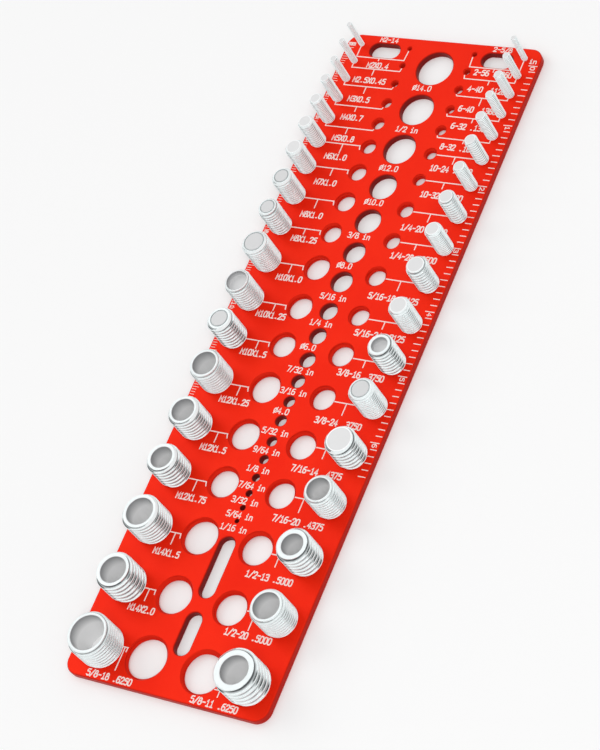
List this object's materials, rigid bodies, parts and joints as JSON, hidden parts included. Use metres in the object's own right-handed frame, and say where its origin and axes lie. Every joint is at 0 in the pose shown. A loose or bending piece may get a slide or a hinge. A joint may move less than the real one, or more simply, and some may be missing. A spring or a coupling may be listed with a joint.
{
  "type": "thread checker plate",
  "caption": "Flat red plate with threaded studs, tapped holes and plain gauge holes for sorting nuts, bolts and shanks by size.",
  "frame": {"origin": "centre of the plate's back face, on which it lies", "axes": "+Z out of the face that carries the studs, +Y along the plate towards the hanging slots, +X to the side with the inch threads"},
  "size_m": [0.08, 0.261, 0.0155],
  "materials": {
    "red_plate": "red anodised, satin",
    "stud_steel": "bright plated"
  },
  "bodies": {
    "root": {"plate": "red_plate", "stud_5_8_18": "stud_steel", "stud_m14x2": "stud_steel", "stud_m14x1_5": "stud_steel", "stud_m12x1_75": "stud_steel", "stud_m12x1_5": "stud_steel", "stud_m12x1_25": "stud_steel", "stud_m10x1_5": "stud_steel", "stud_m10x1_25": "stud_steel", "stud_m10x1": "stud_steel", "stud_m8x1_25": "stud_steel", "stud_m8x1": "stud_steel", "stud_m7x1": "stud_steel", "stud_m6x1": "stud_steel", "stud_m5x0_8": "stud_steel", "stud_m4x0_7": "stud_steel", "stud_m3x0_5": "stud_steel", "stud_m2_5x0_45": "stud_steel", "stud_m2x0_4": "stud_steel", "stud_5_8_11": "stud_steel", "stud_1_2_20": "stud_steel", "stud_1_2_13": "stud_steel", "stud_7_16_20": "stud_steel", "stud_7_16_14": "stud_steel", "stud_3_8_24": "stud_steel", "stud_3_8_16": "stud_steel", "stud_5_16_24": "stud_steel", "stud_5_16_18": "stud_steel", "stud_1_4_28": "stud_steel", "stud_1_4_20": "stud_steel", "stud_no10_32": "stud_steel", "stud_no10_24": "stud_steel", "stud_no8_32": "stud_steel", "stud_no6_32": "stud_steel", "stud_no6_40": "stud_steel", "stud_no4_40": "stud_steel", "stud_no2_56": "stud_steel"}
  },
  "joints": []
}
